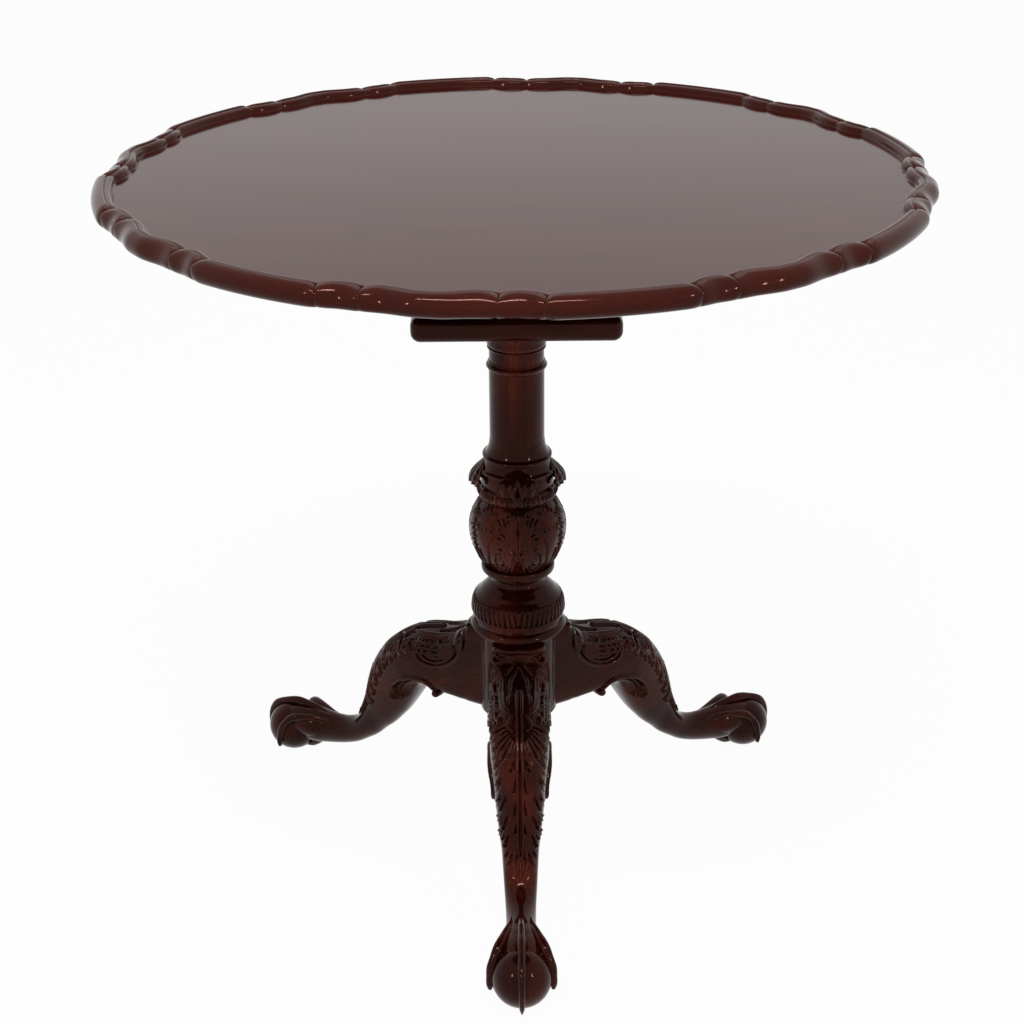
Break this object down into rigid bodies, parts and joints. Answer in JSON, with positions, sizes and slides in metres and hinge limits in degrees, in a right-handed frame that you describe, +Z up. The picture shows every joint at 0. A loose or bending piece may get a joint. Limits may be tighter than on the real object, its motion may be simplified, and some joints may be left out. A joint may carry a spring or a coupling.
{
  "type": "tilt-top tea table",
  "caption": "Round tea table with a scalloped piecrust rim on a birdcage that turns and tilts, a carved turned pillar and cabriole legs with ball-and-claw feet.",
  "frame": {"origin": "on the floor, under the axis of the pillar", "axes": "+Z up; -Y to the front, where one leg points and the top lifts; +X to the right seen from the front"},
  "size_m": [0.7686, 0.7686, 0.7257],
  "materials": {
    "mahogany": "dark red-brown mahogany, high French polish",
    "oak": "bare oak",
    "brass": "aged brass",
    "iron": "dark wrought iron",
    "steel": "dull steel"
  },
  "bodies": {
    "base": {"pillar": "mahogany", "leg_front": "mahogany", "leg_left": "mahogany", "leg_right": "mahogany", "collar_ring": "mahogany", "base_brace": "iron", "brace_screw_front_1": "iron", "brace_screw_front_2": "iron", "brace_screw_left_1": "iron", "brace_screw_left_2": "iron", "brace_screw_right_1": "iron", "brace_screw_right_2": "iron"},
    "cage": {"cage_lower_plate": "mahogany", "cage_upper_plate": "mahogany", "colonnette_front_left": "mahogany", "colonnette_front_right": "mahogany", "colonnette_back_left": "mahogany", "colonnette_back_right": "mahogany", "strike_plate": "brass", "strike_screw_1": "brass", "strike_screw_2": "brass"},
    "top": {"top_board": "mahogany", "bearer_left": "mahogany", "bearer_right": "mahogany", "bolt_plate": "brass", "bearer_screw_left_1": "steel", "bearer_screw_left_2": "steel", "bearer_screw_left_3": "steel", "bearer_screw_right_1": "steel", "bearer_screw_right_2": "steel", "bearer_screw_right_3": "steel", "bolt_plate_screw_1": "brass", "bolt_plate_screw_2": "brass", "bolt_plate_screw_3": "brass", "bolt_plate_screw_4": "brass"},
    "bolt": {"bolt": "brass"},
    "key": {"wedge_key": "oak"}
  },
  "joints": [
    {"name": "cage_swivel", "type": "hinge", "parent": "base", "child": "cage", "pos_m": [0, 0, 0.583], "axis": [0, 0, 1], "continuous": true},
    {"name": "top_tilt", "type": "hinge", "parent": "cage", "child": "top", "pos_m": [0, 0.0858, 0.6924], "axis": [-1, 0, 0], "range_deg": [0, 90]},
    {"name": "bolt_slide", "type": "slide", "parent": "top", "child": "bolt", "axis": [0, 1, 0], "range_m": [0, 0.009]},
    {"name": "key_slide", "type": "slide", "parent": "base", "child": "key", "axis": [0, 1, 0], "range_m": [0, 0.028]}
  ]
}
